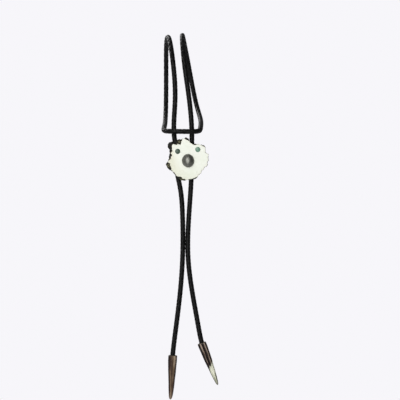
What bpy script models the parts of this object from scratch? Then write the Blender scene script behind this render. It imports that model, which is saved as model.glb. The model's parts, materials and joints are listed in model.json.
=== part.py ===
"""Bolo tie: a braided leather cord, an antler burr slide set with three stones, and two antler tips.

Metres, +Z up, the front faces -Y. The cord hangs in a hitch over a thick round rail, and the
origin is where its underside bears on the rail's crest, midway between its two strands.
"""
import math

import bmesh
import bpy
import numpy as np
from mathutils import Matrix, Vector, noise

# Cord
CORD_DIAMETER = 0.0040
CORD_STEP = 0.0130          # longest step between the points of the cord's tube
CORD_BEVEL_STEPS = 3
SPLINE_POWER = 0.75         # how far a long span of the route loosens the curve at its ends

# Clearances
CORD_FIT = 0.0003           # all round the cord, in the guides and in the tips
SEAT_GAP = 0.0003           # between a piece and the one that it sits on or in

# Antler slice of the slide
SLICE_WIDTH = 0.0385
SLICE_HEIGHT = 0.0385
SLICE_THICKNESS = 0.0070
SLICE_SHIFT_X = 0.0030      # the slice's centre from the middle of the two cord guides
SLICE_SHIFT_Z = 0.0001
SLICE_STEPS = 112           # points round the rim
PEARL_HEIGHT = 0.0005       # relief of the natural rim
PEARL_SIZE = 0.0026

# Stones, placed from the slice's centre
CENTRE_STONE_WIDTH = 0.0108
CENTRE_STONE_HEIGHT = 0.0119
CENTRE_STONE_RISE = 0.0040
CENTRE_STONE_X = 0.0007
CENTRE_STONE_Z = -0.0007
SMALL_STONE_DIAMETER = 0.0046
SMALL_STONE_RISE = 0.0009
LEFT_STONE_X = -0.0085
LEFT_STONE_Z = 0.0076
RIGHT_STONE_X = 0.0094
RIGHT_STONE_Z = 0.0092
STONE_SEAT_DEPTH = 0.0015
STONE_STEPS = 36

# Clasp on the slice's back
PLATE_WIDTH = 0.0240
PLATE_HEIGHT = 0.0180
PLATE_THICKNESS = 0.0012
PLATE_CORNER = 0.0030
GUIDE_LENGTH = 0.0100
GUIDE_WALL = 0.0008
GUIDE_SINK = 0.0003         # how far a guide is let into the plate
GUIDE_STEPS = 24

# Antler tips
LEFT_TIP_LENGTH = 0.0392
LEFT_TIP_WIDTH = 0.0079
RIGHT_TIP_LENGTH = 0.0400
RIGHT_TIP_WIDTH = 0.0075
LEFT_TIP_RIDGES = 5
RIGHT_TIP_RIDGES = 9
LEFT_RIDGE_DEPTH = 0.00006
RIGHT_RIDGE_DEPTH = 0.00022
TIP_STEPS = 36
TIP_BORE_SPARE = 0.0005     # empty end of the bore past the cord's end

# The cord's route, x, y, z in millimetres, from each tip up to the bar of the hitch
LEFT_ROUTE = (
    (-1.9, -39.6, -299.0),  # end, inside the tip
    (-1.5, -39.6, -291.0),  # tip's mouth
    (1.0, -39.6, -269.0),
    (5.0, -39.6, -236.0),
    (7.5, -39.6, -200.0),
    (7.4, -39.6, -165.0),
    (5.3, -39.6, -140.0),
    (2.0, -39.6, -121.0),   # foot of the clasp's guide
    (2.0, -39.6, -109.0),   # head of the guide
    (-0.2, -39.6, -92.0),   # behind the bar
    (0.7, -39.6, -60.0),
    (-0.9, -38.7, -29.5),   # onto the rail
    (-5.0, -19.2, -3.5),
    (-8.6, 13.5, -1.3),     # past the crest
    (-9.7, 37.0, -24.5),
    (-9.8, 35.0, -57.3),
    (-9.8, 8.9, -77.4),     # leaves the rail's underside
    (-9.7, -28.0, -85.4),   # into the bar's corner
    (-8.5, -38.0, -88.2),
    (-2.8, -43.5, -89.0),   # along the bar
)
RIGHT_ROUTE = (
    (27.7, -39.6, -287.2),  # end, inside the tip
    (24.9, -39.6, -279.7),  # tip's mouth
    (21.2, -39.6, -262.0),
    (15.9, -39.6, -232.0),
    (12.3, -39.6, -200.0),
    (13.1, -39.6, -165.0),
    (14.8, -39.6, -140.0),
    (15.5, -39.6, -121.0),  # foot of the clasp's guide
    (15.5, -39.6, -109.0),  # head of the guide
    (15.8, -39.6, -92.0),   # behind the bar
    (13.4, -39.6, -60.0),
    (9.1, -38.7, -28.4),    # onto the rail
    (6.8, -19.2, -2.1),
    (7.6, 13.5, 0.6),       # past the crest
    (12.4, 37.0, -22.0),
    (18.6, 35.0, -54.1),
    (23.4, 8.9, -73.6),     # leaves the rail's underside
    (23.6, -28.0, -84.7),   # into the bar's corner
    (22.3, -38.0, -88.2),
    (18.0, -43.6, -89.2),   # along the bar
)
TIP_END, TIP_MOUTH, GUIDE_FOOT, GUIDE_HEAD = 0, 1, 7, 8

# Angle clockwise from the top in degrees, rim radius and face inset as shares of half the slice
SLICE_OUTLINE = (
    (7, 0.880, 0.060),
    (22, 0.775, 0.030),
    (37, 0.920, 0.045),
    (53, 1.045, 0.045),
    (67, 0.930, 0.030),
    (76, 1.030, 0.030),
    (91, 1.000, 0.030),
    (106, 0.985, 0.030),
    (121, 0.885, 0.030),
    (131, 0.890, 0.030),
    (149, 0.925, 0.035),
    (161, 0.970, 0.050),
    (179, 0.975, 0.040),
    (198, 0.950, 0.080),
    (215, 0.910, 0.120),
    (230, 0.895, 0.030),
    (242, 0.945, 0.155),
    (258, 1.010, 0.190),
    (270, 0.905, 0.050),
    (285, 0.870, 0.135),
    (297, 0.950, 0.165),
    (303, 1.085, 0.220),
    (309, 1.160, 0.240),
    (318, 1.140, 0.190),
    (324, 1.080, 0.260),
    (336, 1.050, 0.230),
    (345, 1.000, 0.060),
    (355, 1.045, 0.040),
)

# Share of the slice's thickness from its face, share of the face inset left, own inset as a share
# of the thickness, and share of the pearls' relief
SLICE_SECTIONS = (
    (0.00, 1.00, 0.060, 0.0),
    (0.04, 1.00, 0.015, 0.1),
    (0.16, 0.72, 0.000, 0.6),
    (0.30, 0.38, 0.000, 1.0),
    (0.45, 0.12, 0.000, 1.0),
    (0.60, 0.00, 0.000, 1.0),
    (0.75, 0.00, 0.030, 1.0),
    (0.88, 0.10, 0.070, 0.7),
    (0.97, 0.22, 0.130, 0.2),
    (1.00, 0.26, 0.190, 0.0),
)

# Share of a tip's length from its mouth, share of its width, and sideways bow as a share of width
LEFT_TIP_SECTIONS = (
    (0.00, 0.94, 0.00),
    (0.02, 1.00, 0.00),
    (0.12, 1.01, 0.00),
    (0.25, 0.93, 0.01),
    (0.38, 0.82, 0.03),
    (0.50, 0.73, 0.03),
    (0.62, 0.64, 0.03),
    (0.74, 0.56, 0.03),
    (0.84, 0.48, 0.02),
    (0.92, 0.38, 0.01),
    (0.97, 0.25, 0.00),
    (0.995, 0.11, 0.00),
)
RIGHT_TIP_SECTIONS = (
    (0.00, 0.97, 0.00),
    (0.02, 1.00, 0.00),
    (0.12, 1.02, 0.01),
    (0.25, 0.98, 0.03),
    (0.38, 0.89, 0.02),
    (0.50, 0.80, 0.02),
    (0.62, 0.71, 0.04),
    (0.74, 0.62, 0.05),
    (0.84, 0.53, 0.06),
    (0.92, 0.42, 0.06),
    (0.97, 0.28, 0.05),
    (0.995, 0.12, 0.04),
)
RIDGE_FADE_START = 0.45     # share of the tip's length where its ridges begin to wear away
RIDGE_FADE_END = 0.75
RIDGE_MOUTH_RUN = 0.06      # share of the tip's length that the mouth's cut edge takes

MILLIMETRE = 0.001


def clear_scene():
    for item in list(bpy.data.objects):
        bpy.data.objects.remove(item, do_unlink=True)


def make_collection(name):
    found = bpy.data.collections.get(name) or bpy.data.collections.new(name)
    if found.name not in bpy.context.scene.collection.children:
        bpy.context.scene.collection.children.link(found)
    return found


def make_material(name, colour, roughness, metallic=0.0):
    material = bpy.data.materials.new(name)
    material.use_nodes = True
    shader = material.node_tree.nodes["Principled BSDF"]
    shader.inputs["Base Color"].default_value = (*colour, 1.0)
    shader.inputs["Roughness"].default_value = roughness
    shader.inputs["Metallic"].default_value = metallic
    material.diffuse_color = (*colour, 1.0)
    return material


def add_object(name, data, group, material=None):
    item = bpy.data.objects.new(name, data)
    group.objects.link(item)
    if material:
        data.materials.append(material)
    return item


def hide_cutter(item):
    item.hide_render = True
    item.display_type = "WIRE"


def add_boolean(target, cutter, operation):
    step = target.modifiers.new(f"{operation.lower()} {cutter.name}", "BOOLEAN")
    step.operation = operation
    step.object = cutter


def route_points(rows):
    return [Vector(row) * MILLIMETRE for row in rows]


def smooth_through(points, step):
    """Read a natural cubic spline through the points, at most about one step apart."""
    knots = np.array([tuple(point) for point in points])
    spans = np.linalg.norm(np.diff(knots, axis=0), axis=1)
    widths = spans ** SPLINE_POWER
    count = len(knots)
    system = np.identity(count)
    known = np.zeros((count, 3))
    for row in range(1, count - 1):
        before, after = widths[row - 1], widths[row]
        system[row, row - 1:row + 2] = (before, 2 * (before + after), after)
        known[row] = 6 * ((knots[row + 1] - knots[row]) / after
                          - (knots[row] - knots[row - 1]) / before)
    bends = np.linalg.solve(system, known)
    line = [Vector(knots[0])]
    for index, width in enumerate(widths):
        parts = max(2, round(spans[index] / step))
        for number in range(1, parts + 1):
            ahead = width * number / parts
            left = width - ahead
            place = (bends[index] * left ** 3 + bends[index + 1] * ahead ** 3) / (6 * width)
            place = place + (knots[index] / width - bends[index] * width / 6) * left
            place = place + (knots[index + 1] / width - bends[index + 1] * width / 6) * ahead
            line.append(Vector(place))
    return line


def cord_line():
    """The whole route: left tip, left strand, hitch, right strand, right tip."""
    return route_points(LEFT_ROUTE) + route_points(reversed(RIGHT_ROUTE))


def guide_places():
    """Middle of the straight run of each strand, where the clasp's guides hold it."""
    places = []
    for rows in (LEFT_ROUTE, RIGHT_ROUTE):
        points = route_points(rows)
        places.append((points[GUIDE_FOOT] + points[GUIDE_HEAD]) / 2)
    return places


def guide_bore_radius():
    return CORD_DIAMETER / 2 + CORD_FIT


def plate_back():
    """Depth of the clasp plate's back face, in front of the strands."""
    strand = guide_places()[0].y
    return strand - guide_bore_radius() - GUIDE_WALL + GUIDE_SINK


def slice_back():
    return plate_back() - PLATE_THICKNESS - SEAT_GAP


def slice_front():
    return slice_back() - SLICE_THICKNESS


def slice_centre():
    left, right = guide_places()
    middle = (left + right) / 2
    return Vector((middle.x + SLICE_SHIFT_X, slice_front(), middle.z + SLICE_SHIFT_Z))


def outline_at(angle):
    """Rim radius and face inset, as shares of half the slice, at an angle in degrees."""
    rows = SLICE_OUTLINE
    wrapped = [(rows[-1][0] - 360, *rows[-1][1:]), *rows, (rows[0][0] + 360, *rows[0][1:])]
    for low, high in zip(wrapped, wrapped[1:]):
        if low[0] <= angle <= high[0]:
            share = (angle - low[0]) / (high[0] - low[0])
            ease = (1 - math.cos(math.pi * share)) / 2
            return tuple(a + (b - a) * ease for a, b in zip(low[1:], high[1:]))
    raise ValueError("the outline's table leaves an angle out")


def loft(name, rings):
    """One closed body through rings of as many points each, flat at both ends."""
    shape = bmesh.new()
    loops = [[shape.verts.new(point) for point in ring] for ring in rings]
    count = len(loops[0])
    for near, far in zip(loops, loops[1:]):
        for index in range(count):
            after = (index + 1) % count
            shape.faces.new((near[index], near[after], far[after], far[index]))
    shape.faces.new(loops[0])
    shape.faces.new(loops[-1])
    bmesh.ops.recalc_face_normals(shape, faces=shape.faces)
    mesh = bpy.data.meshes.new(name)
    shape.to_mesh(mesh)
    shape.free()
    mesh.shade_smooth()
    mesh.set_sharp_from_angle(angle=math.radians(40))
    return mesh


def cylinder(name, radius, depth, steps):
    shape = bmesh.new()
    bmesh.ops.create_cone(shape, cap_ends=True, segments=steps, radius1=radius,
                          radius2=radius, depth=depth)
    mesh = bpy.data.meshes.new(name)
    shape.to_mesh(mesh)
    shape.free()
    return mesh


def make_slice(group, cutters, material):
    """Slice of antler burr: a flat polished face and back, and a pearled natural rim."""
    rings = []
    for depth_share, inset_left, own_inset, pearl_share in SLICE_SECTIONS:
        ring = []
        for index in range(SLICE_STEPS):
            degrees = 360 * index / SLICE_STEPS
            angle = math.radians(degrees)
            rim, inset = outline_at(degrees)
            share = rim - inset * inset_left
            place = Vector((math.sin(angle) * share * SLICE_WIDTH / 2,
                            depth_share * SLICE_THICKNESS,
                            math.cos(angle) * share * SLICE_HEIGHT / 2))
            outward = Vector((math.sin(angle), 0, math.cos(angle)))
            relief = noise.noise(place / PEARL_SIZE) * PEARL_HEIGHT * pearl_share
            ring.append(place + outward * (relief - own_inset * SLICE_THICKNESS))
        rings.append(ring)
    item = add_object("burr_slice", loft("burr_slice", rings), group, material)
    item.location = slice_centre()
    for cutter in make_seat_cutters(cutters):
        add_boolean(item, cutter, "DIFFERENCE")
    return item


def stone_places():
    """Name, place on the slice's face, width, height and rise of each stone."""
    centre = slice_centre()
    return (
        ("centre_cabochon", centre + Vector((CENTRE_STONE_X, 0, CENTRE_STONE_Z)),
         CENTRE_STONE_WIDTH, CENTRE_STONE_HEIGHT, CENTRE_STONE_RISE),
        ("turquoise_left", centre + Vector((LEFT_STONE_X, 0, LEFT_STONE_Z)),
         SMALL_STONE_DIAMETER, SMALL_STONE_DIAMETER, SMALL_STONE_RISE),
        ("turquoise_right", centre + Vector((RIGHT_STONE_X, 0, RIGHT_STONE_Z)),
         SMALL_STONE_DIAMETER, SMALL_STONE_DIAMETER, SMALL_STONE_RISE),
    )


def make_seat_cutters(cutters):
    """Flat-bottomed seats for the stones, let into the slice's face."""
    made = []
    for name, place, width, height, rise in stone_places():
        depth = STONE_SEAT_DEPTH
        item = add_object(f"seat for {name}", cylinder(name, 0.5, 2 * depth, STONE_STEPS), cutters)
        item.scale = (width + 2 * SEAT_GAP, height + 2 * SEAT_GAP, 1)
        item.rotation_euler = (math.radians(90), 0, 0)
        item.location = place
        hide_cutter(item)
        made.append(item)
    return made


def make_stone(group, row, material):
    """Domed stone, turned from its profile: its pole to the front, its flat back in the seat."""
    name, place, width, height, rise = row
    arc_steps = 8
    girdle_depth = STONE_SEAT_DEPTH - SEAT_GAP
    profile = []
    for number in range(arc_steps + 1):
        turn = math.radians(90 * number / arc_steps)
        profile.append((0.5 * math.sin(turn), 0, rise * math.cos(turn)))
    profile.append((0.5, 0, -girdle_depth))
    profile.append((0, 0, -girdle_depth))
    mesh = bpy.data.meshes.new(name)
    mesh.from_pydata(profile, [(i, i + 1) for i in range(len(profile) - 1)], [])
    item = add_object(name, mesh, group, material)
    turned = item.modifiers.new("turned", "SCREW")
    turned.steps = STONE_STEPS
    turned.render_steps = STONE_STEPS
    turned.use_merge_vertices = True
    turned.merge_threshold = 0.00001
    turned.use_smooth_shade = True
    item.scale = (width, height, 1)
    item.rotation_euler = (math.radians(90), 0, 0)
    item.location = place
    return item


def make_clasp(group, cutters, material):
    """Plain back plate with two tubes that the cord runs through."""
    left, right = guide_places()
    middle = (left + right) / 2
    shape = bmesh.new()
    size = Matrix.Diagonal((PLATE_WIDTH, PLATE_THICKNESS, PLATE_HEIGHT, 1))
    bmesh.ops.create_cube(shape, size=1, matrix=size)
    corners = [edge for edge in shape.edges
               if abs(edge.verts[0].co.y - edge.verts[1].co.y) > PLATE_THICKNESS / 2]
    bmesh.ops.bevel(shape, geom=corners, offset=PLATE_CORNER, segments=5, profile=0.5,
                    affect="EDGES")
    mesh = bpy.data.meshes.new("slide_clasp")
    shape.to_mesh(mesh)
    shape.free()
    item = add_object("slide_clasp", mesh, group, material)
    item.location = (middle.x, plate_back() - PLATE_THICKNESS / 2, middle.z)
    bore = guide_bore_radius()
    for side, place in (("left", left), ("right", right)):
        tube = cylinder(f"{side} guide", bore + GUIDE_WALL, GUIDE_LENGTH, GUIDE_STEPS)
        tube = add_object(f"{side} guide", tube, cutters)
        tube.location = place
        hide_cutter(tube)
        add_boolean(item, tube, "UNION")
    for side, place in (("left", left), ("right", right)):
        hole = cylinder(f"{side} guide bore", bore, 2 * GUIDE_LENGTH, GUIDE_STEPS)
        hole = add_object(f"{side} guide bore", hole, cutters)
        hole.location = place
        hide_cutter(hole)
        add_boolean(item, hole, "DIFFERENCE")
    return item


def ridge_share(along):
    """How much of the ridges' depth is left at a share of the tip's length."""
    mouth = min(1, along / RIDGE_MOUTH_RUN)
    worn = (along - RIDGE_FADE_START) / (RIDGE_FADE_END - RIDGE_FADE_START)
    return mouth * (1 - min(1, max(0, worn)))


def make_tip(group, cutters, name, rows, material, sizes):
    """Antler tip: a tapered point, bored at its mouth for the cord's end."""
    length, width, sections, ridges, ridge_depth = sizes
    rings = []
    for along, width_share, bow in sections:
        ring = []
        for index in range(TIP_STEPS):
            angle = 2 * math.pi * index / TIP_STEPS
            ridge = ridge_depth * ridge_share(along) * math.cos(ridges * angle)
            radius = width * width_share / 2 + ridge
            ring.append(Vector((radius * math.cos(angle) + bow * width,
                                radius * math.sin(angle),
                                -along * length)))
        rings.append(ring)
    item = add_object(name, loft(name, rings), group, material)
    end, mouth = route_points(rows)[TIP_END], route_points(rows)[TIP_MOUTH]
    along_tip = (mouth - end).normalized()
    turn = Vector((0, 0, 1)).rotation_difference(along_tip)
    item.location = mouth
    item.rotation_mode = "QUATERNION"
    item.rotation_quaternion = turn
    depth = (mouth - end).length + TIP_BORE_SPARE
    bore = cylinder(f"{name} bore", guide_bore_radius(), 2 * depth, GUIDE_STEPS)
    bore = add_object(f"{name} bore", bore, cutters)
    bore.location = mouth
    bore.rotation_mode = "QUATERNION"
    bore.rotation_quaternion = turn
    hide_cutter(bore)
    add_boolean(item, bore, "DIFFERENCE")
    return item


def make_cord(group, material):
    """The whole cord in one piece, from inside one tip to inside the other."""
    line = smooth_through(cord_line(), CORD_STEP)
    curve = bpy.data.curves.new("bolo_cord", "CURVE")
    curve.dimensions = "3D"
    curve.bevel_depth = CORD_DIAMETER / 2
    curve.bevel_resolution = CORD_BEVEL_STEPS
    curve.use_fill_caps = True
    spline = curve.splines.new("POLY")
    spline.points.add(len(line) - 1)
    for point, place in zip(spline.points, line):
        point.co = (*place, 1)
    return add_object("bolo_cord", curve, group, material)


def main():
    clear_scene()
    parts = make_collection("bolo_tie")
    cutters = make_collection("cutters")
    leather = make_material("black braided leather", (0.012, 0.012, 0.012), 0.5)
    burr = make_material("antler burr", (0.82, 0.83, 0.70), 0.35)
    brown_antler = make_material("brown antler", (0.10, 0.070, 0.050), 0.5)
    dark_antler = make_material("dark antler", (0.080, 0.055, 0.042), 0.55)
    hematite = make_material("grey metallic stone", (0.16, 0.16, 0.145), 0.3, 0.8)
    turquoise = make_material("turquoise", (0.12, 0.30, 0.22), 0.35)
    steel = make_material("plain steel", (0.45, 0.45, 0.44), 0.35, 1.0)

    make_cord(parts, leather)
    make_slice(parts, cutters, burr)
    for row in stone_places():
        make_stone(parts, row, hematite if row[0] == "centre_cabochon" else turquoise)
    make_clasp(parts, cutters, steel)
    make_tip(parts, cutters, "tip_left", LEFT_ROUTE, brown_antler,
             (LEFT_TIP_LENGTH, LEFT_TIP_WIDTH, LEFT_TIP_SECTIONS, LEFT_TIP_RIDGES,
              LEFT_RIDGE_DEPTH))
    make_tip(parts, cutters, "tip_right", RIGHT_ROUTE, dark_antler,
             (RIGHT_TIP_LENGTH, RIGHT_TIP_WIDTH, RIGHT_TIP_SECTIONS, RIGHT_TIP_RIDGES,
              RIGHT_RIDGE_DEPTH))


main()
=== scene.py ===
# Looks of a hanging bolo tie: braided leather cord, antler slide with three stones, antler tips
import json
import math

import bmesh
import bpy
import numpy as np
from mathutils import Matrix, Vector, noise

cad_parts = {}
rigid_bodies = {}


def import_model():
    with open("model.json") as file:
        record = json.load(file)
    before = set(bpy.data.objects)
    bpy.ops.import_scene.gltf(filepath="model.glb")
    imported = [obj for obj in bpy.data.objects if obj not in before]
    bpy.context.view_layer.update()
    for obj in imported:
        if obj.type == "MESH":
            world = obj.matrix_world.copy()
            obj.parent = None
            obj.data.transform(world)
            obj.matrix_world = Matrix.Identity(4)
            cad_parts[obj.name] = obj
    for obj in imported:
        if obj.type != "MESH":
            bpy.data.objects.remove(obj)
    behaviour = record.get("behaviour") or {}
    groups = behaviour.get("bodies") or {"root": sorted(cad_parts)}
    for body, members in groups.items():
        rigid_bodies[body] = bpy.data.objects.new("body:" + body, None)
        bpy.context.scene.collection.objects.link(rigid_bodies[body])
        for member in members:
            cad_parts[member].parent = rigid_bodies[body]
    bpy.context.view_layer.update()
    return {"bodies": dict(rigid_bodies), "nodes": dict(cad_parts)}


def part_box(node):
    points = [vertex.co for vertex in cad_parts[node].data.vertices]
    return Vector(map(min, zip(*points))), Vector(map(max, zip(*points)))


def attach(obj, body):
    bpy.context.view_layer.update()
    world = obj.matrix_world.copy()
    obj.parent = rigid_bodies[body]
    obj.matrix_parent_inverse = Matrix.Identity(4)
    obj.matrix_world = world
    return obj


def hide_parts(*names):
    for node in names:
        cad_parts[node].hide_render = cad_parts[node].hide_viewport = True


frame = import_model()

mm = 0.001
tieBody = next(iter(frame["bodies"]))


class Wire:
    # a node's output that sums, products and powers can be written with
    def __init__(self, look, socket):
        self.look = look
        self.socket = socket

    def reckon(self, operation, *ends):
        return self.look.node("ShaderNodeMath", {"operation": operation}, dict(enumerate(ends)))

    def __add__(self, other):
        return self.reckon("ADD", self, other)

    def __radd__(self, other):
        return self.reckon("ADD", other, self)

    def __sub__(self, other):
        return self.reckon("SUBTRACT", self, other)

    def __rsub__(self, other):
        return self.reckon("SUBTRACT", other, self)

    def __mul__(self, other):
        return self.reckon("MULTIPLY", self, other)

    def __rmul__(self, other):
        return self.reckon("MULTIPLY", other, self)

    def __truediv__(self, other):
        return self.reckon("DIVIDE", self, other)

    def __pow__(self, other):
        return self.reckon("POWER", self, other)

    def between(self, low, high):  # 0 below low, 1 above high, eased
        settings = {"interpolation_type": "SMOOTHSTEP"}
        return self.look.node("ShaderNodeMapRange", settings,
                              {"Value": self, "From Min": low, "From Max": high})


class Nodes:
    # adds nodes to one material's or the world's tree
    def __init__(self, tree):
        self.tree = tree

    def node(self, kind, settings=None, values=None, out=0):
        made = self.tree.nodes.new(kind)
        for key, value in (settings or {}).items():
            if key == "stops":
                self.setStops(made.color_ramp, value)
            else:
                setattr(made, key, value)
        for key, value in (values or {}).items():
            if isinstance(value, Wire):
                self.tree.links.new(value.socket, made.inputs[key])
            else:
                made.inputs[key].default_value = value
        return Wire(self, made.outputs[out])

    def setStops(self, ramp, stops):
        while len(ramp.elements) < len(stops):
            ramp.elements.new(1)
        for element, (place, colour) in zip(ramp.elements, stops):
            element.position = place
            element.color = (*colour, 1)

    def place(self):
        return self.node("ShaderNodeTexCoord", out="Object")

    def attribute(self, name, out="Fac"):
        return self.node("ShaderNodeAttribute", {"attribute_name": name}, out=out)

    def vector(self, operation, first, second=(0, 0, 0), out=0):
        return self.node("ShaderNodeVectorMath", {"operation": operation},
                         {0: first, 1: second}, out)

    def grain(self, vector, scale, detail=3, roughness=0.5, distortion=0):
        return self.node("ShaderNodeTexNoise", None,
                         {"Vector": vector, "Scale": scale, "Detail": detail,
                          "Roughness": roughness, "Distortion": distortion})

    def tint(self, vector, scale):  # a noise colour, for straying a pattern's coordinates
        return self.node("ShaderNodeTexNoise", None, {"Vector": vector, "Scale": scale}, 1)

    def cells(self, vector, scale):  # distance to the nearest cell's edge
        return self.node("ShaderNodeTexVoronoi", {"feature": "DISTANCE_TO_EDGE"},
                         {"Vector": vector, "Scale": scale})

    def mix(self, factor, first, second):
        ends = {0: factor}
        for key, end in ((6, first), (7, second)):
            ends[key] = end if isinstance(end, Wire) else (*end, 1)
        return self.node("ShaderNodeMix", {"data_type": "RGBA"}, ends, out=2)

    def ramp(self, factor, stops):
        return self.node("ShaderNodeValToRGB", {"stops": stops}, {"Fac": factor})

    def bump(self, height, strength, distance):
        return self.node("ShaderNodeBump", None,
                         {"Height": height, "Strength": strength, "Distance": distance})


class Look(Nodes):
    # one material: a Principled shader and the nodes that feed it
    def __init__(self, name, shine):
        self.material = bpy.data.materials.new(name)
        self.material.use_nodes = True
        super().__init__(self.material.node_tree)
        self.shader = self.tree.nodes["Principled BSDF"]
        for socket, value in shine.items():
            self.shader.inputs[socket].default_value = value

    def feed(self, links):
        for socket, wire in links.items():
            self.tree.links.new(wire.socket, self.shader.inputs[socket])


def finishPiece(name, bm, look, node=None, sharpAngle=50):
    bmesh.ops.recalc_face_normals(bm, faces=bm.faces)
    mesh = bpy.data.meshes.new(name)
    bm.to_mesh(mesh)
    bm.free()
    mesh.shade_smooth()
    mesh.set_sharp_from_angle(angle=math.radians(sharpAngle))
    mesh.materials.append(look.material)
    piece = bpy.data.objects.new(name, mesh)
    bpy.context.scene.collection.objects.link(piece)
    if node:
        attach(piece, tieBody)
        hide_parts(node)
    return piece


def extrudeRing(bm, ring):  # the next ring of a tube, in the same order as this one
    pairs = zip(ring, ring[1:] + ring[:1])
    edges = [bm.edges.get(pair) for pair in pairs]
    made = bmesh.ops.extrude_edge_only(bm, edges=edges)["geom"]
    fresh = {item for item in made if isinstance(item, bmesh.types.BMVert)}
    return [next(edge.other_vert(vert) for edge in vert.link_edges
                 if edge.other_vert(vert) in fresh) for vert in ring]


def closeEnd(bm, ring):
    edges = [bm.edges.get(pair) for pair in zip(ring, ring[1:] + ring[:1])]
    bmesh.ops.contextual_create(bm, geom=edges)


def moveRing(ring, places):
    for vert, place in zip(ring, places):
        vert.co = place


# Studio

studio = {
    "axisX": 23.1 * mm,        # what the camera looks straight at
    "axisZ": -150.6 * mm,
    "strandDepth": -39.6 * mm,
    "distance": 1.0,           # from the hanging strands
    "lens": 100,
    "sensor": 36,
    "backdrop": (0.930, 0.922, 0.955),
    "ambientLeft": 0.38,
    "ambientRight": 0.10,
    "floorDrop": -0.80,
    "floorRadius": 2.8,
    "floorBlend": (1.1, 2.7),  # where the floor turns into the backdrop
    "keyPlace": (-0.37, -1.31, 0.25),
    "keySize": (0.55, 1.40),
    "keyPower": 15.3,
    "rimPlace": (-0.7, 0.9, 0.7),
    "rimSize": (0.8, 0.8),
    "rimPower": 8,
    "aim": (0.01, -0.04, -0.16),
}


def makeCamera():
    camera = bpy.data.cameras.new("camera")
    camera.lens = studio["lens"]
    camera.sensor_width = studio["sensor"]
    camera.clip_start = 0.01
    viewer = bpy.data.objects.new("camera", camera)
    viewer.location = (studio["axisX"], studio["strandDepth"] - studio["distance"], studio["axisZ"])
    viewer.rotation_euler = (math.radians(90), 0, 0)
    bpy.context.scene.collection.objects.link(viewer)
    bpy.context.scene.camera = viewer


def makeLight(name, place, size, power):
    light = bpy.data.lights.new(name, "AREA")
    light.shape = "RECTANGLE"
    light.size, light.size_y = size
    light.energy = power
    lamp = bpy.data.objects.new(name, light)
    lamp.location = place
    lamp.rotation_euler = (Vector(studio["aim"]) - Vector(place)).to_track_quat("-Z", "Y").to_euler()
    bpy.context.scene.collection.objects.link(lamp)


def makeWorld():
    world = bpy.data.worlds.new("studio")
    world.use_nodes = True
    bpy.context.scene.world = world
    sky = Nodes(world.node_tree)
    way = sky.node("ShaderNodeTexCoord", out="Generated")
    toLeft = sky.vector("DOT_PRODUCT", way, (-1, 0, 0.3), "Value").between(-0.9, 0.9)
    ambient = studio["ambientRight"] + toLeft * (studio["ambientLeft"] - studio["ambientRight"])
    ray = sky.node("ShaderNodeLightPath", out="Is Camera Ray")
    white = sky.node("ShaderNodeCombineColor", None, {0: ambient, 1: ambient, 2: ambient})
    shown = world.node_tree.nodes["Background"]
    world.node_tree.links.new(sky.mix(ray, white, studio["backdrop"]).socket,
                              shown.inputs["Color"])
    bpy.context.scene.view_settings.view_transform = "Standard"
    bpy.context.scene.view_settings.look = "None"


def makeFloor():
    look = Look("pale floor", {"Roughness": 0.9, "Emission Strength": 1.0,
                               "Specular IOR Level": 0.0})
    reach = look.vector("LENGTH", look.place(), out="Value")
    away = reach.between(*studio["floorBlend"])
    look.feed({
        "Base Color": look.mix(away, (0.40, 0.40, 0.41), (0, 0, 0)),
        "Emission Color": look.mix(away, (0.36, 0.36, 0.37), studio["backdrop"]),
    })
    bm = bmesh.new()
    bmesh.ops.create_circle(bm, cap_ends=True, segments=96, radius=studio["floorRadius"],
                            matrix=Matrix.Translation((0, 0, studio["floorDrop"])))
    floor = finishPiece("floor", bm, look)


print("studio")
makeCamera()
makeWorld()
makeFloor()
makeLight("key", studio["keyPlace"], studio["keySize"], studio["keyPower"])
makeLight("rim", studio["rimPlace"], studio["rimSize"], studio["rimPower"])


# Braided cord

cord = {
    "length": 1.000,
    "diameter": 4.0 * mm,
    "splinePower": 0.75,
    "pathStep": 2.0 * mm,
    "lay": 13.5 * mm,          # one strand's full turn round the cord
    "strandsEachWay": 2,
    "turn": math.radians(45),
    "stepsPerLay": 26,
    "middleRadius": 1.73 * mm,
    "weave": 0.13 * mm,        # how far a strand rises and dips
    "strandWidth": 3.45 * mm,
    "strandCrown": 0.50 * mm,
    "strandRoot": 0.34 * mm,
    "coreRadius": 1.50 * mm,
    "corePoints": 10,
    "coreSteps": 9,
}
# a strand's section, as shares of its half width and of its crown or root
laceOutline = [(-1.0, -0.1), (-0.93, 0.48), (-0.68, 0.84), (-0.3, 0.99), (0.1, 1.0), (0.5, 0.93),
               (0.85, 0.62), (1.0, 0.0), (0.55, -1.0), (-0.55, -1.0)]
leftRoute = [                  # x, y, z in millimetres, from the tip up to the bar
    (-1.9, -39.6, -299.0), (-1.5, -39.6, -291.0), (1.0, -39.6, -269.0), (5.0, -39.6, -236.0),
    (7.5, -39.6, -200.0), (7.4, -39.6, -165.0), (5.3, -39.6, -140.0), (2.0, -39.6, -121.0),
    (2.0, -39.6, -109.0), (-0.2, -39.6, -92.0), (0.7, -39.6, -60.0), (-0.9, -38.7, -29.5),
    (-5.0, -19.2, -3.5), (-8.6, 13.5, -1.3), (-9.7, 37.0, -24.5), (-9.8, 35.0, -57.3),
    (-9.8, 8.9, -77.4), (-9.7, -28.0, -85.4), (-8.5, -38.0, -88.2), (-2.8, -43.5, -89.0),
]
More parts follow.
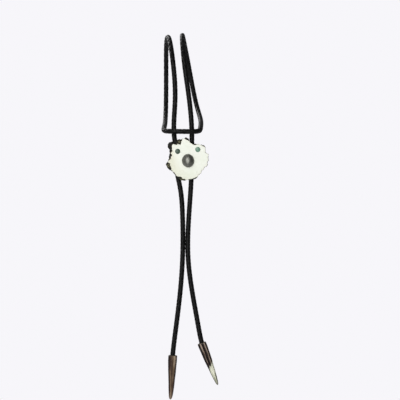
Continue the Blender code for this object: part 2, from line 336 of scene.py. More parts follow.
rightRoute = [
    (27.7, -39.6, -287.2), (24.9, -39.6, -279.7), (21.2, -39.6, -262.0), (15.9, -39.6, -232.0),
    (12.3, -39.6, -200.0), (13.1, -39.6, -165.0), (14.8, -39.6, -140.0), (15.5, -39.6, -121.0),
    (15.5, -39.6, -109.0), (15.8, -39.6, -92.0), (13.4, -39.6, -60.0), (9.1, -38.7, -28.4),
    (6.8, -19.2, -2.1), (7.6, 13.5, 0.6), (12.4, 37.0, -22.0), (18.6, 35.0, -54.1),
    (23.4, 8.9, -73.6), (23.6, -28.0, -84.7), (22.3, -38.0, -88.2), (18.0, -43.6, -89.2),
]


def smoothThrough(points, step):  # a natural cubic spline through the route's points
    knots = np.array(points)
    spans = np.linalg.norm(np.diff(knots, axis=0), axis=1)
    widths = spans ** cord["splinePower"]
    count = len(knots)
    system = np.identity(count)
    known = np.zeros((count, 3))
    for row in range(1, count - 1):
        before, after = widths[row - 1], widths[row]
        system[row, row - 1:row + 2] = (before, 2 * (before + after), after)
        known[row] = 6 * ((knots[row + 1] - knots[row]) / after
                          - (knots[row] - knots[row - 1]) / before)
    bends = np.linalg.solve(system, known)
    line = [Vector(knots[0])]
    for index, width in enumerate(widths):
        parts = max(2, round(spans[index] / step))
        for number in range(1, parts + 1):
            ahead = width * number / parts
            left = width - ahead
            spot = (bends[index] * left ** 3 + bends[index + 1] * ahead ** 3) / (6 * width)
            spot = spot + (knots[index] / width - bends[index] * width / 6) * left
            spot = spot + (knots[index + 1] / width - bends[index + 1] * width / 6) * ahead
            line.append(Vector(spot))
    return line


def strandSection(along, turn, way):  # a flat lace that bends round the cord
    turns = 2 * math.pi * along / cord["lay"]
    swell = way * cord["weave"] * math.cos(2 * turns)
    middle = cord["middleRadius"] + swell
    slope = math.atan(2 * math.pi * cord["middleRadius"] / cord["lay"])
    places = []
    for sideways, rise in laceOutline:
        height = middle + rise * (cord["strandCrown"] if rise > 0 else cord["strandRoot"])
        shift = sideways * cord["strandWidth"] / 2
        angle = turn + way * turns + shift * math.cos(slope) / cord["middleRadius"]
        places.append(Vector((along - way * shift * math.sin(slope),
                              height * math.cos(angle), height * math.sin(angle))))
    return places


def markStrand(uv, ring, fresh, behind, ahead):  # u runs round the lace and v along it
    for index, vert in enumerate(ring):
        after = (index + 1) % len(ring)
        corners = {vert: (index, behind), ring[after]: (index + 1, behind),
                   fresh[index]: (index, ahead), fresh[after]: (index + 1, ahead)}
        for face in vert.link_faces:
            if all(corner in corners for corner in face.verts):
                for loop in face.loops:
                    u, v = corners[loop.vert]
                    loop[uv].uv = (u / len(ring), v)


def makeLay():  # one full turn of all the strands and their core, along +X
    bm = bmesh.new()
    uv = bm.loops.layers.uv.new("strand")
    steps = cord["stepsPerLay"]
    for way in (1, -1):
        for number in range(cord["strandsEachWay"]):
            turn = cord["turn"] + 2 * math.pi * number / cord["strandsEachWay"]
            ring = list(bmesh.ops.create_circle(bm, segments=len(laceOutline), radius=1)["verts"])
            moveRing(ring, strandSection(0, turn, way))
            for step in range(1, steps + 1):
                fresh = extrudeRing(bm, ring)
                moveRing(fresh, strandSection(cord["lay"] * step / steps, turn, way))
                markStrand(uv, ring, fresh, (step - 1) / steps, step / steps)
                ring = fresh
    ring = list(bmesh.ops.create_circle(
        bm, segments=cord["corePoints"], radius=cord["coreRadius"],
        matrix=Matrix.Rotation(math.radians(90), 4, "Y"))["verts"])
    for step in range(cord["coreSteps"]):
        fresh = extrudeRing(bm, ring)
        stride = Vector((cord["lay"] / cord["coreSteps"], 0, 0))
        moveRing(fresh, [vert.co + stride for vert in ring])
        ring = fresh
    mesh = bpy.data.meshes.new("one lay")
    bm.to_mesh(mesh)
    bm.free()
    return mesh


def leatherLook():
    look = Look("black braided leather", {"Specular IOR Level": 0.11})
    place = look.place()
    strand = look.node("ShaderNodeUVMap", {"uv_map": "strand"})
    across = look.vector("DOT_PRODUCT", strand, (1, 0, 0), "Value")
    off = (across - 0.36) / 0.36  # 0 along a lace's middle, 1 at its cut edges
    cutEdge = (off * off).between(0.55, 1.0)
    creases = look.grain(look.vector("MULTIPLY", strand, (22, 5, 1)), 3, 4, 0.6)
    grain = look.grain(place, 2600, 3, 0.6)
    worn = look.grain(place, 120, 3, 0.6).between(0.45, 0.75)
    shade = look.mix(creases.between(0.3, 0.7), (0.002, 0.002, 0.0021), (0.0055, 0.0055, 0.0055))
    shade = look.mix(worn * (1 - cutEdge) * 0.6, shade, (0.011, 0.011, 0.0105))
    look.feed({
        "Base Color": look.mix(cutEdge * grain * 0.7, shade, (0.016, 0.012, 0.009)),
        "Roughness": 0.26 + grain * 0.2 + cutEdge * 0.3 + worn * 0.06,
        "Normal": look.bump(grain * 0.7 + creases, 0.5, 0.14 * mm),
    })
    return look


def makeCord():
    route = [Vector(row) * mm for row in leftRoute + rightRoute[::-1]]
    line = smoothThrough(route, cord["pathStep"])
    real = sum((after - before).length for before, after in zip(line, line[1:]))
    count = round(real / cord["lay"])
    cord["lay"] = real / count
    curve = bpy.data.curves.new("route", "CURVE")
    curve.dimensions = "3D"
    spline = curve.splines.new("POLY")
    spline.points.add(len(line) - 1)
    for point, spot in zip(spline.points, line):
        point.co = (*spot, 1)
    guide = bpy.data.objects.new("route", curve)
    braid = bpy.data.objects.new("braid", makeLay())
    for item in (guide, braid):
        bpy.context.scene.collection.objects.link(item)
    rows = braid.modifiers.new("lays", "ARRAY")
    rows.count = count
    rows.use_relative_offset = False
    rows.use_constant_offset = True
    rows.constant_offset_displace = (cord["lay"], 0, 0)
    rows.use_merge_vertices = True
    rows.merge_threshold = 0.00002
    bend = braid.modifiers.new("along the route", "CURVE")
    bend.object = guide
    bend.deform_axis = "POS_X"
    bpy.context.view_layer.update()
    shaped = bpy.data.meshes.new_from_object(braid.evaluated_get(bpy.context.evaluated_depsgraph_get()))
    for item in (guide, braid):
        bpy.data.objects.remove(item)
    bm = bmesh.new()
    bm.from_mesh(shaped)
    ends = [edge for edge in bm.edges if edge.is_boundary]
    bmesh.ops.holes_fill(bm, edges=ends, sides=len(laceOutline))
    piece = finishPiece("braided_cord", bm, leatherLook(), "bolo_cord", 80)
    print("cord", round(real, 4), "m,", count, "lays,", len(piece.data.polygons), "faces")


makeCord()


# Antler slice

burr = {
    "width": 38.5 * mm,
    "height": 38.5 * mm,
    "centreX": 11.75 * mm,
    "centreZ": -114.9 * mm,
    "points": 480,
    "pearl": 2.1 * mm,         # usual width of a pearl of the rim
    "pearlRise": 0.85 * mm,
    "grit": 0.10 * mm,         # fine roughness of the rim
    "lean": 0.42 * mm,         # how far the rim draws in where the face reaches its edge
    "ragged": 0.32,            # how far the face's edge wanders, as a share of its inset
    "faceRings": [(4.5, 0.0), (2.6, 0.0), (1.6, 0.15), (1.0, 0.4), (0.7, 0.7)],
    "firstRindRow": 4,
    "lastRindRow": 23,
}
# angle clockwise from the top, rim radius and face inset as shares of half the slice
rimOutline = [
    (1, 1.005, 0.090), (4, 0.968, 0.108), (6.5, 0.887, 0.020), (10, 0.835, 0.010),
    (15, 0.800, 0.012), (20, 0.792, 0.020), (24, 0.838, 0.066), (28, 0.856, 0.070),
    (32, 0.880, 0.040), (37, 0.925, 0.020), (49, 1.030, 0.045), (54, 1.045, 0.025), (60, 0.990, 0.012),
    (67, 0.925, 0.010), (70, 0.950, 0.012), (75, 1.040, 0.016), (83, 0.990, 0.016),
    (91, 1.003, 0.016), (96, 0.945, 0.010), (103, 0.982, 0.015), (108, 0.945, 0.010),
    (113, 0.880, 0.005), (121, 0.873, 0.006), (127, 0.848, 0.007), (134, 0.895, 0.010),
    (141, 0.880, 0.005), (149, 0.920, 0.012), (154, 0.950, 0.040), (158, 0.967, 0.056),
    (163, 0.948, 0.040), (168, 0.911, 0.006), (173, 0.905, 0.005), (178, 0.930, 0.008),
    (184, 0.945, 0.022), (190, 0.980, 0.090),
    (197, 0.970, 0.110), (203, 0.950, 0.090), (208, 0.945, 0.070), (215, 0.895, 0.012),
    (224, 0.890, 0.055), (232, 0.880, 0.020), (237, 0.905, 0.035), (242, 0.960, 0.120),
    (246, 0.990, 0.170), (252, 0.995, 0.200), (259, 1.025, 0.200), (263, 0.955, 0.050),
    (268, 0.900, 0.045), (274, 0.865, 0.110), (285, 0.875, 0.140), (289, 0.880, 0.120),
    (292, 0.880, 0.050), (295, 0.925, 0.110), (300, 0.965, 0.150), (304, 1.110, 0.205),
    (309, 1.180, 0.255), (315, 1.172, 0.190), (319, 1.125, 0.165), (322.5, 1.098, 0.250),
    (326, 1.083, 0.266),
    (332, 1.055, 0.275), (338, 1.045, 0.240), (343, 1.005, 0.110), (348, 1.015, 0.012),
    (352, 1.020, 0.012), (355, 1.050, 0.075), (358, 1.045, 0.105),
]
# where the rim's bark is worn to tan: angle, share of half the slice, radius
tanSpots = [
    (337, 0.93, 1.5 * mm), (329, 0.86, 1.0 * mm), (251, 0.90, 2.2 * mm), (197, 0.92, 2.6 * mm),
    (225, 0.86, 1.4 * mm), (273, 0.82, 1.3 * mm), (292, 0.86, 1.1 * mm), (50, 0.99, 1.0 * mm),
    (241, 0.84, 1.0 * mm), (264, 0.93, 0.9 * mm), (342, 1.00, 0.8 * mm), (257, 0.90, 1.1 * mm),
]
# share of the thickness from the face, share of the face's inset left, own inset in
# millimetres, share of the pearls' rise
rimSections = [
    (0.00, 1.00, 0.45, 0.45), (0.005, 1.00, 0.22, 0.45), (0.02, 1.00, 0.07, 0.45),
    (0.045, 1.00, 0.00, 0.5), (0.08, 0.94, 0.00, 0.6), (0.12, 0.85, 0.00, 0.75),
    (0.16, 0.74, 0.00, 0.9), (0.21, 0.61, 0.00, 1.0), (0.25, 0.50, 0.00, 1.0),
    (0.30, 0.38, 0.00, 1.0), (0.35, 0.27, 0.00, 1.0), (0.40, 0.19, 0.00, 1.0),
    (0.45, 0.12, 0.00, 1.0), (0.50, 0.07, 0.00, 1.0), (0.55, 0.03, 0.00, 1.0),
    (0.60, 0.00, 0.00, 1.0), (0.65, 0.00, 0.05, 1.0), (0.70, 0.00, 0.12, 1.0),
    (0.75, 0.00, 0.22, 1.0), (0.80, 0.03, 0.35, 0.9), (0.85, 0.07, 0.48, 0.7),
    (0.90, 0.12, 0.62, 0.4), (0.95, 0.18, 0.80, 0.15), (0.985, 0.22, 1.00, 0.0),
    (1.00, 0.26, 1.30, 0.0),
]


def outlineAt(degrees):
    first, last = rimOutline[0], rimOutline[-1]
    rows = [(last[0] - 360, *last[1:]), *rimOutline, (first[0] + 360, *first[1:])]
    for low, high in zip(rows, rows[1:]):
        if low[0] <= degrees <= high[0]:
            ease = (1 - math.cos(math.pi * (degrees - low[0]) / (high[0] - low[0]))) / 2
            return [a + (b - a) * ease for a, b in zip(low[1:], high[1:])]


def tanAt(degrees, share):  # 1 in the middle of a worn spot
    most = 0
    for spotDegrees, spotShare, radius in tanSpots:
        turn = math.radians(degrees - spotDegrees)
        off = Vector((share * math.cos(turn) - spotShare, share * math.sin(turn))).length
        most = max(most, math.exp(-(off * burr["width"] / 2 / radius) ** 2))
    return most


def pearlAt(spot):  # 0 in the grooves, 1 on top of a pearl
    near = noise.voronoi(spot / burr["pearl"])[0]
    return min(1.0, max(0.0, (near[1] - near[0]) * 1.4)) ** 0.55


def antlerLook():
    look = Look("antler burr", {"Specular IOR Level": 0.3, "Coat Roughness": 0.12})
    place = look.place()
    names = ("rind", "pearl", "edge", "tan")
    rind, pearl, edge, tan = (look.attribute(name) for name in names)
    fromCentre = look.vector("SUBTRACT", place, (burr["centreX"], 0, burr["centreZ"]))
    toLeft = look.vector("DOT_PRODUCT", fromCentre, (-1, 0, -0.45), "Value")
    reach = look.vector("LENGTH", fromCentre, out="Value")
    cloud = look.grain(place, 150, 4, 0.55)
    pores = look.grain(place, 1500, 3, 0.7)
    rings = look.grain(look.vector("MULTIPLY", fromCentre, (1, 0.2, 1)), 260, 2, 0.5, 0.6)
    ivory = look.mix(cloud.between(0.3, 0.75), (0.835, 0.865, 0.765), (0.885, 0.905, 0.825))
    ivory = look.mix(rings.between(0.35, 0.8) * 0.22, ivory, (0.79, 0.81, 0.66))
    warm = toLeft.between(0.002, 0.018) * (cloud + 0.25)
    ivory = look.mix(warm * 0.65, ivory, (0.79, 0.755, 0.60))
    leftEdge = look.vector("DOT_PRODUCT", fromCentre, (-1, 0, -0.15), "Value")
    ivory = look.mix(leftEdge.between(0.0095, 0.0145) * 0.6, ivory, (0.71, 0.71, 0.56))
    toLow = look.vector("DOT_PRODUCT", fromCentre, (-0.3, 0, -1), "Value")
    ivory = look.mix(toLow.between(0.001, 0.018) * 0.55, ivory, (0.73, 0.76, 0.62))
    ivory = look.mix(edge * edge * (0.15 + cloud * 0.5) * 0.6, ivory, (0.55, 0.49, 0.33))
    specks = pores.between(0.62, 0.78) * reach.between(0.002, 0.016)
    ivory = look.mix(specks * 0.35, ivory, (0.42, 0.37, 0.25))
    stray = look.vector("MULTIPLY", look.tint(place, 320), (5 * mm, 5 * mm, 5 * mm))
    cells = look.cells(look.vector("ADD", place, stray), 150)
    crack = (1 - cells.between(0.0, 0.014)) * cloud.between(0.45, 0.62)
    ivory = look.mix(crack * 0.4, ivory, (0.40, 0.36, 0.26))
    depth = look.vector("DOT_PRODUCT", place, (0, 1, 0), "Value")
    back = depth.between(burr["backY"] - 1 * mm, burr["backY"] - 0.5 * mm)
    saw = look.grain(look.vector("MULTIPLY", place, (0.03, 1, 1)), 1900, 3, 0.6)
    ivory = look.mix(back * (0.35 + saw.between(0.35, 0.65) * 0.3), ivory, (0.52, 0.48, 0.34))
    patches = look.grain(place, 300, 3, 0.6).between(0.36, 0.70)
    toBack = depth.between(burr["backY"] - 3.6 * mm, burr["backY"] - 1.2 * mm)
    hidden = 1 - (1 - toBack) * toLeft.between(-0.012, -0.002)  # what the front doesn't show
    shade = pearl * 0.36 + patches * 0.15 + cloud * 0.1
    shade = shade + tan * (patches * 0.3 + 0.40) + hidden * (pearl * 0.22 + patches * 0.12)
    bark = look.ramp(shade, [
        (0.25, (0.003, 0.0026, 0.0015)), (0.55, (0.013, 0.0115, 0.006)),
        (0.74, (0.085, 0.082, 0.040)), (0.90, (0.23, 0.22, 0.125)), (1.0, (0.42, 0.40, 0.27)),
    ])
    bark = look.mix(pores.between(0.5, 0.7) * 0.5, bark, (0.012, 0.010, 0.006))
    look.feed({
        "Base Color": look.mix(rind, ivory, bark),
        "Roughness": 0.26 + rind * 0.32 + pores * 0.08 + back * 0.25,
        "Coat Weight": 0.42 - (rind + back) * 0.42,
        "Normal": look.bump(pores * (0.12 + rind * 0.88) - crack * 0.5 + saw * back * 0.9,
                            0.25, 0.15 * mm),
    })
    return look


def cutSeats(piece):  # a seat in the face for each stone, a hair wider than the stone
    for node in ("centre_cabochon", "turquoise_left", "turquoise_right"):
        low, high = (Vector(corner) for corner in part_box(node))
        middle = (low + high) / 2
        size = high - low
        bm = bmesh.new()
        bmesh.ops.create_cone(bm, cap_ends=True, segments=96, radius1=0.5, radius2=0.5,
                              depth=1, matrix=Matrix.Rotation(math.radians(90), 4, "X"))
        bmesh.ops.scale(bm, verts=bm.verts, vec=(size.x * 1.008, size.y, size.z * 1.008))
        bmesh.ops.translate(bm, verts=bm.verts, vec=middle)
        mesh = bpy.data.meshes.new("seat")
        bm.to_mesh(mesh)
        bm.free()
        cutter = bpy.data.objects.new("seat", mesh)
        bpy.context.scene.collection.objects.link(cutter)
        cut = piece.modifiers.new("seat", "BOOLEAN")
        cut.operation = "DIFFERENCE"
        cut.object = cutter
        bpy.context.view_layer.update()
        shaped = bpy.data.meshes.new_from_object(
            piece.evaluated_get(bpy.context.evaluated_depsgraph_get()))
        piece.modifiers.clear()
        piece.data = shaped
        bpy.data.objects.remove(cutter)


def slicePlaces(centre, thickness, depth, insetLeft, ownInset, rise):  # one ring of the slice
    for index in range(burr["points"]):
        degrees = 360 * index / burr["points"]
        angle = math.radians(degrees)
        rim, inset = outlineAt(degrees)
        outward = Vector((math.sin(angle), 0, math.cos(angle)))
        wander = noise.noise(outward * 9) + 0.5 * noise.noise(outward * 17)
        share = rim - inset * (1 + wander * burr["ragged"]) * insetLeft
        spot = Vector((outward.x * share * burr["width"] / 2, depth * thickness,
                       outward.z * share * burr["height"] / 2))
        pearl = pearlAt(spot)
        lift = (pearl - 0.62) * burr["pearlRise"] + noise.noise(spot * 2200) * burr["grit"]
        lift -= burr["lean"] * max(0, 1 - inset / 0.07) * max(0, rise - 0.45)
        place = centre + spot + outward * (lift * rise - ownInset * mm)
        yield place, pearl, tanAt(degrees, share)


def makeSlice():
    low, high = (Vector(corner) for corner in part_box("burr_slice"))
    burr["backY"] = high.y
    centre = Vector((burr["centreX"], low.y, burr["centreZ"]))
    bm = bmesh.new()
    names = ("rind", "pearl", "edge", "tan")
    layers = {name: bm.verts.layers.float.new(name) for name in names}
    ring = list(bmesh.ops.create_circle(bm, cap_ends=True, segments=burr["points"],
                                        radius=1)["verts"])
    rows = [(0, 1.0, inset, 0.45, edge) for inset, edge in burr["faceRings"]]
    rows += [(*section, 1.0) for section in rimSections]
    first = len(burr["faceRings"])
    for row, (depth, insetLeft, ownInset, rise, edge) in enumerate(rows):
        if row:
            ring = extrudeRing(bm, ring)
        places = slicePlaces(centre, high.y - low.y, depth, insetLeft, ownInset, rise)
        isRind = burr["firstRindRow"] <= row - first <= burr["lastRindRow"]
        for vert, (place, pearl, tan) in zip(ring, places):
            vert.co = place
            vert[layers["tan"]] = tan
            vert[layers["rind"]] = 1.0 if isRind else 0.0
            vert[layers["pearl"]] = pearl
            vert[layers["edge"]] = edge
    closeEnd(bm, ring)
    piece = finishPiece("antler_slice", bm, antlerLook(), "burr_slice", 35)
    cutSeats(piece)
    print("slice", len(piece.data.polygons), "faces")


makeSlice()


# Stones

stones = {
    "steps": 72,
    "arcSteps": 20,
    "girdle": 1.2 * mm,        # depth of the stone below the slice's face
    "edge": 0.12 * mm,
}


def hematiteLook():
    look = Look("grey metallic stone", {"Metallic": 0.85, "Specular IOR Level": 0.6})
    low, high = (Vector(corner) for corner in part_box("centre_cabochon"))
    place = look.place()
    fromMiddle = look.vector("SUBTRACT", place, tuple((low + high) / 2))
    # painted shade: the base colour darkens towards the stone's lower right side
    paintedShadeSide = look.vector("DOT_PRODUCT", fromMiddle, (0.85, 0, -0.5), "Value")
    paintedShadeSide = paintedShadeSide.between(-1 * mm, 5.5 * mm)
    cloud = look.grain(place, 420, 4, 0.6)
    scratch = look.grain(look.vector("MULTIPLY", place, (1, 1, 0.12)), 2600, 2, 0.5)
    grey = look.mix(cloud.between(0.35, 0.7), (0.123, 0.124, 0.109), (0.225, 0.226, 0.204))
    look.feed({
        "Base Color": look.mix(paintedShadeSide * 0.6, grey, (0.085, 0.087, 0.072)),
        "Roughness": 0.35 + cloud * 0.12,
        "Normal": look.bump(cloud + scratch * 0.2, 0.12, 0.2 * mm),
    })
    return look


def turquoiseLook(name, deep, pale):
    look = Look(name, {"Specular IOR Level": 0.4, "Coat Weight": 0.15, "Coat Roughness": 0.1})
    place = look.place()
    cloud = look.grain(place, 700, 4, 0.6)
    stray = look.vector("MULTIPLY", look.tint(place, 900), (1.6 * mm, 1.6 * mm, 1.6 * mm))
    cells = look.cells(look.vector("ADD", place, stray), 480)
    vein = (1 - cells.between(0.0, 0.06)) * cloud.between(0.38, 0.55)
    stone = look.mix(cloud.between(0.3, 0.7), deep, pale)
    look.feed({
        "Base Color": look.mix(vein * 0.55, stone, (0.03, 0.04, 0.03)),
        "Roughness": 0.30 + vein * 0.3,
        "Normal": look.bump(1 - vein, 0.15, 0.05 * mm),
    })
    return look


def makeStone(name, node, look, squareness, peak=1.0, lean=(0, 0)):
    low, high = (Vector(corner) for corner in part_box(node))
    size = high - low
    face = high.y - stones["girdle"]
    rise = face - low.y
    bm = bmesh.new()
    profile = []
    for number in range(stones["arcSteps"] + 1):
        turn = math.radians(90) * number / stones["arcSteps"]
        profile.append((0.5 * math.sin(turn) ** squareness, -rise * math.cos(turn) ** peak))
    profile += [(0.5, stones["girdle"] * 0.9), (0.47, stones["girdle"]), (0, stones["girdle"])]
    verts = [bm.verts.new((across, depth, 0)) for across, depth in profile]
    for pair in zip(verts, verts[1:]):
        bm.edges.new(pair)
    bmesh.ops.spin(bm, geom=bm.verts[:] + bm.edges[:], cent=(0, 0, 0), axis=(0, 1, 0),
                   angle=2 * math.pi, steps=stones["steps"], use_merge=True)
    bmesh.ops.remove_doubles(bm, verts=bm.verts, dist=0.00001)
    bmesh.ops.scale(bm, verts=bm.verts, vec=(size.x, 1, size.z))
    for vert in bm.verts:  # the crown leans a little to one side
        share = max(0, -vert.co.y / rise)
        vert.co += Vector((lean[0], 0, lean[1])) * share
    middle = Vector(((low.x + high.x) / 2, face, (low.z + high.z) / 2))
    bmesh.ops.translate(bm, verts=bm.verts, vec=middle)
    return finishPiece(name, bm, look, node, 50)


makeStone("cabochon", "centre_cabochon", hematiteLook(), 1.0, 1.1,
          (0.6 * mm, -0.9 * mm))
makeStone("turquoise_stone_left", "turquoise_left",
          turquoiseLook("dark turquoise", (0.021, 0.050, 0.030), (0.068, 0.115, 0.079)), 0.7)
makeStone("turquoise_stone_right", "turquoise_right",
          turquoiseLook("pale turquoise", (0.085, 0.195, 0.135), (0.21, 0.36, 0.265)), 0.7)
print("stones")


# Clasp

def steelLook():
    look = Look("satin steel", {"Metallic": 1.0})
    place = look.place()
    brush = look.grain(look.vector("MULTIPLY", place, (0.06, 1, 1)), 2200, 2, 0.6)
    worn = look.grain(place, 180, 3, 0.6)
    look.feed({
        "Base Color": look.mix(worn, (0.42, 0.42, 0.41), (0.60, 0.60, 0.58)),
        "Roughness": 0.26 + brush * 0.16 + worn * 0.08,
        "Normal": look.bump(brush, 0.12, 0.05 * mm),
    })
    return look


def dressClasp():
    clasp = frame["nodes"]["slide_clasp"]
    clasp.data.materials.clear()
    clasp.data.materials.append(steelLook().material)


dressClasp()
print("clasp")


# Antler tips

tips = {
    "points": 120,
    "rows": 120,
    "boreRadius": 2.3 * mm,
    "boreDepth": 8.5 * mm,
    "rimRound": 0.25 * mm,
    "lift": 0.6 * mm,          # how far the mouths stand above the solids'
    "left": {
        "length": 39.8 * mm, "width": 7.9 * mm, "route": leftRoute,
        "ridges": 7, "firstRidge": 0, "stray": 2.2, "ridgeDepth": 0.09 * mm, "fade": (0.75, 1.0),
        # share of the length from the mouth, share of the width, sideways bow
        "sections": [
            (0.00, 0.96, 0.01), (0.02, 1.01, 0.01), (0.12, 1.02, 0.01), (0.25, 0.945, 0.01),
            (0.38, 0.87, 0.01), (0.50, 0.785, 0.01), (0.62, 0.70, 0.02), (0.74, 0.615, 0.02),
            (0.84, 0.53, 0.01), (0.92, 0.44, 0.00), (0.965, 0.33, -0.01), (0.985, 0.21, -0.01),
            (0.995, 0.12, -0.01),
        ],
        # angle at the mouth and at the point, half width, start, end, paler or darker; rows on the front
        # half, between -180 and 0 degrees, are partly painted highlights and painted shade, the rows
        # round the back are the horn's own streaks
        "streaksAndPaintedLight": [
            (-58, -86, 18, -0.1, 0.68, 0.62), (-74, -60, 5, 0.2, 0.95, -0.35),
            (-172, -178, 30, -0.1, 0.95, -0.85), (-132, -128, 12, -0.1, 0.9, -0.40),
            (-134, -96, 10, 0.24, 1.1, 0.75), (-76, -70, 30, -0.2, 0.13, 0.35),
            (-66, -72, 14, 0.62, 1.1, 0.50), (-64, -68, 18, -0.2, 0.26, 0.40),
            (-18, -40, 17, 0.05, 0.85, -0.42), (35, 20, 16, -0.1, 1.0, 0.45),
            (88, 96, 20, -0.1, 0.9, -0.35), (132, 140, 13, 0.1, 1.1, 0.50),
        ],
    },
    "right": {
        "length": 40.6 * mm, "width": 7.5 * mm, "route": rightRoute,
        "ridges": 7, "firstRidge": -57, "stray": 0.7, "ridgeDepth": 0.30 * mm, "fade": (0.42, 0.72),
        "sections": [
            (0.00, 0.98, -0.03), (0.02, 1.02, -0.03), (0.12, 1.02, -0.02), (0.25, 0.98, 0.00),
            (0.38, 0.89, 0.00), (0.50, 0.80, 0.00), (0.62, 0.70, 0.02), (0.74, 0.59, 0.025),
            (0.84, 0.48, 0.03), (0.92, 0.37, 0.03), (0.97, 0.25, 0.03), (0.995, 0.11, 0.03),
        ],
        # as for the left tip: on the front half, painted highlights and painted shade such as the dark
        # left edge mix with the horn's own streaks
        "streaksAndPaintedLight": [
            (-18, -18, 18, 0.0, 0.66, 0.30), (-165, -175, 32, -0.1, 1.2, -0.90),
            (-90, -90, 60, 0.30, 0.64, -0.38),
            (-160, -166, 28, 0.50, 1.2, -0.90), (-22, -44, 14, 0.66, 0.99, -1.40),
            (-108, -112, 8, 0.70, 1.2, -0.55),
            (-59, -61, 9, -0.1, 0.7, 0.30), (-106, -110, 9, -0.1, 0.7, 0.02),
            (70, 75, 14, 0.0, 0.8, 0.35), (20, 20, 12, 0.0, 0.8, -0.30),
        ],
    },
}


def tipAt(sections, along):  # width share and bow between the named sections
    places = [row[0] for row in sections]
    width = float(np.interp(along, places, [row[1] for row in sections]))
    bow = float(np.interp(along, places, [row[2] for row in sections]))
    return width, bow


def streakAndPaintedLightAt(streaksAndPaintedLight, degrees, along):  # how much paler or darker the horn is painted there: its own streaks, and on the front half painted highlights and painted shade
    total = 0
    for atMouth, atPoint, halfWidth, start, end, change in streaksAndPaintedLight:
        middle = atMouth + (atPoint - atMouth) * along
        off = abs((degrees - middle + 180) % 360 - 180) / halfWidth
        ends = min(1, max(0, (along - start) / 0.12)) * min(1, max(0, (end - along) / 0.12))
        total += change * math.exp(-off * off) * ends
    return total


def leftTipLook():
    look = Look("brown antler", {"Specular IOR Level": 0.22})
    own = look.attribute("tipPlace", "Vector")
    along, cut, tone = (look.attribute(name) for name in ("along", "cut", "tone"))
    streak = look.grain(look.vector("MULTIPLY", own, (1, 1, 0.05)), 800, 4, 0.6)
    thread = look.grain(look.vector("MULTIPLY", own, (1, 1, 0.09)), 2600, 3, 0.6)
    cloud = look.grain(own, 220, 3, 0.6)
    # the streak attribute added here holds the horn's own streaks and, on the front half, painted
    # highlights and painted shade
    brown = look.ramp(streak * 0.45 + cloud * 0.2 + tone * 0.38 + 0.12, [
        (0.20, (0.007, 0.0025, 0.0015)), (0.36, (0.024, 0.010, 0.006)),
        (0.50, (0.062, 0.034, 0.019)), (0.66, (0.165, 0.112, 0.066)), (0.85, (0.36, 0.28, 0.20)),
    ])
    brown = look.mix(along.between(0.80, 1.0) * 0.5, brown, (0.24, 0.195, 0.15))
    brown = look.mix(thread.between(0.5, 0.7) * 0.45, brown, (0.030, 0.017, 0.011))
    look.feed({
        "Base Color": look.mix(cut, brown, (0.17, 0.145, 0.11)),
        "Roughness": 0.32 + thread * 0.18,
        "Normal": look.bump(thread + streak * 0.6, 0.25, 0.12 * mm),
    })
    return look


def rightTipLook():
    look = Look("dark ridged antler", {"Specular IOR Level": 0.22})
    own = look.attribute("tipPlace", "Vector")
    names = ("along", "cut", "tone", "ridge", "bare")
    along, cut, tone, ridge, bare = (look.attribute(name) for name in names)
    streak = look.grain(look.vector("MULTIPLY", own, (1, 1, 0.07)), 1000, 4, 0.6)
    thread = look.grain(look.vector("MULTIPLY", own, (1, 1, 0.10)), 2600, 3, 0.6)
    cloud = look.grain(own, 260, 3, 0.6)
    # the streak attribute added here holds the horn's own streaks and, on the front half, painted
    # highlights and painted shade such as the dark left edge
    dark = look.ramp(ridge ** 1.7 * 0.66 + streak * 0.30 + tone * 0.30, [
        (0.18, (0.004, 0.0018, 0.0014)), (0.36, (0.014, 0.006, 0.004)),
        (0.55, (0.088, 0.058, 0.042)), (0.74, (0.36, 0.285, 0.225)),
    ])
    ivory = look.ramp(streak * 0.75 + cloud * 0.25 + tone * 0.30, [
        (0.16, (0.022, 0.020, 0.015)), (0.30, (0.15, 0.155, 0.105)),
        (0.41, (0.43, 0.44, 0.31)), (0.52, (0.77, 0.77, 0.62)),
    ])
    ivory = look.mix(along.between(0.85, 1.0) * 0.8, ivory, (0.11, 0.105, 0.08))
    worn = (bare + streak * 0.14).between(0.575, 0.655)
    horn = look.mix(worn, dark, ivory)
    horn = look.mix(thread.between(0.52, 0.72) * (1 - worn * 0.7) * 0.5, horn,
                    (0.015, 0.009, 0.007))
    look.feed({
        "Base Color": look.mix(cut, horn, (0.16, 0.135, 0.10)),
        "Roughness": 0.34 + thread * 0.18,
        "Normal": look.bump(thread + streak * 0.6, 0.35, 0.15 * mm),
    })
    return look


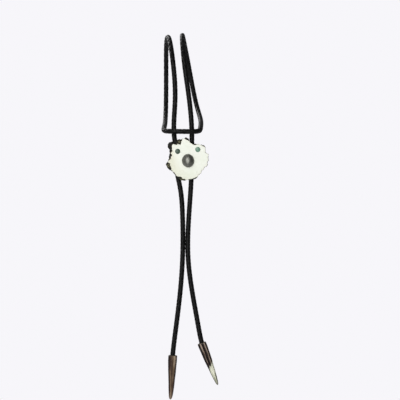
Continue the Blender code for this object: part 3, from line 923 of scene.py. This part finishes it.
def makeTip(name, node, design, look):
    end, mouth = (Vector(row) * mm for row in design["route"][:2])
    upward = (mouth - end).normalized()
    mouth += upward * tips["lift"]
    turn = Vector((0, 0, 1)).rotation_difference(upward).to_matrix()
    bm = bmesh.new()
    placeLayer = bm.verts.layers.float_vector.new("tipPlace")
    names = ("along", "ridge", "cut", "tone", "bare")
    layers = {key: bm.verts.layers.float.new(key) for key in names}
    points, length, width = tips["points"], design["length"], design["width"]
    rounding = tips["rimRound"]
    rows = [("bore", tips["boreDepth"] / length, 0), ("bore", rounding / length, 0),
            ("bore", 0, rounding), ("rim", 0, rounding), ("rim", 0.3 * rounding / length, 0.1 * rounding)]
    rows += [("side", rounding / length + step / tips["rows"] * 0.99, 0)
             for step in range(tips["rows"] + 1)]
    ring = list(bmesh.ops.create_circle(bm, cap_ends=True, segments=points, radius=1)["verts"])
    for number, (kind, share, inset) in enumerate(rows):
        if number:
            ring = extrudeRing(bm, ring)
        widthShare, bow = tipAt(design["sections"], share)
        low, high = design["fade"]
        keep = 1 - min(1, max(0, (share - low) / (high - low)))
        for index, vert in enumerate(ring):
            angle = 2 * math.pi * index / points
            wobble = noise.noise(Vector((math.cos(angle), math.sin(angle), share * 2.5)) * 1.3)
            fromRidge = angle - math.radians(design["firstRidge"])
            crest = math.cos(design["ridges"] * fromRidge + wobble * design["stray"])
            crest *= 0.7 + 0.8 * noise.noise(Vector((math.cos(angle) * 2, math.sin(angle) * 2,
                                                     share * 6)))
            if kind == "bore":
                reach = tips["boreRadius"] + inset
            else:
                reach = (widthShare * width / 2 + crest * design["ridgeDepth"] * keep) - inset
                reach *= 1 + 0.02 * wobble
            shift = 0 if kind == "bore" else bow * width
            spot = Vector((reach * math.cos(angle) + shift, reach * math.sin(angle),
                           -share * length))
            vert.co = mouth + turn @ spot
            vert[placeLayer] = spot
            vert[layers["along"]] = share
            vert[layers["ridge"]] = 0.5 + 0.5 * crest * keep
            vert[layers["cut"]] = 0.0 if kind == "side" else 1.0
            # stores painted highlights and painted shade on the front half, with the horn's own streaks
            vert[layers["tone"]] = streakAndPaintedLightAt(design["streaksAndPaintedLight"], math.degrees(angle), share)
            vert[layers["bare"]] = share + 0.07 * math.cos(angle) + 0.05 * crest * (1 - share)
    closeEnd(bm, ring)
    piece = finishPiece(name, bm, look, node, 60)
    print(name, len(piece.data.polygons), "faces")


makeTip("antler_tip_left", "tip_left", tips["left"], leftTipLook())
makeTip("antler_tip_right", "tip_right", tips["right"], rightTipLook())
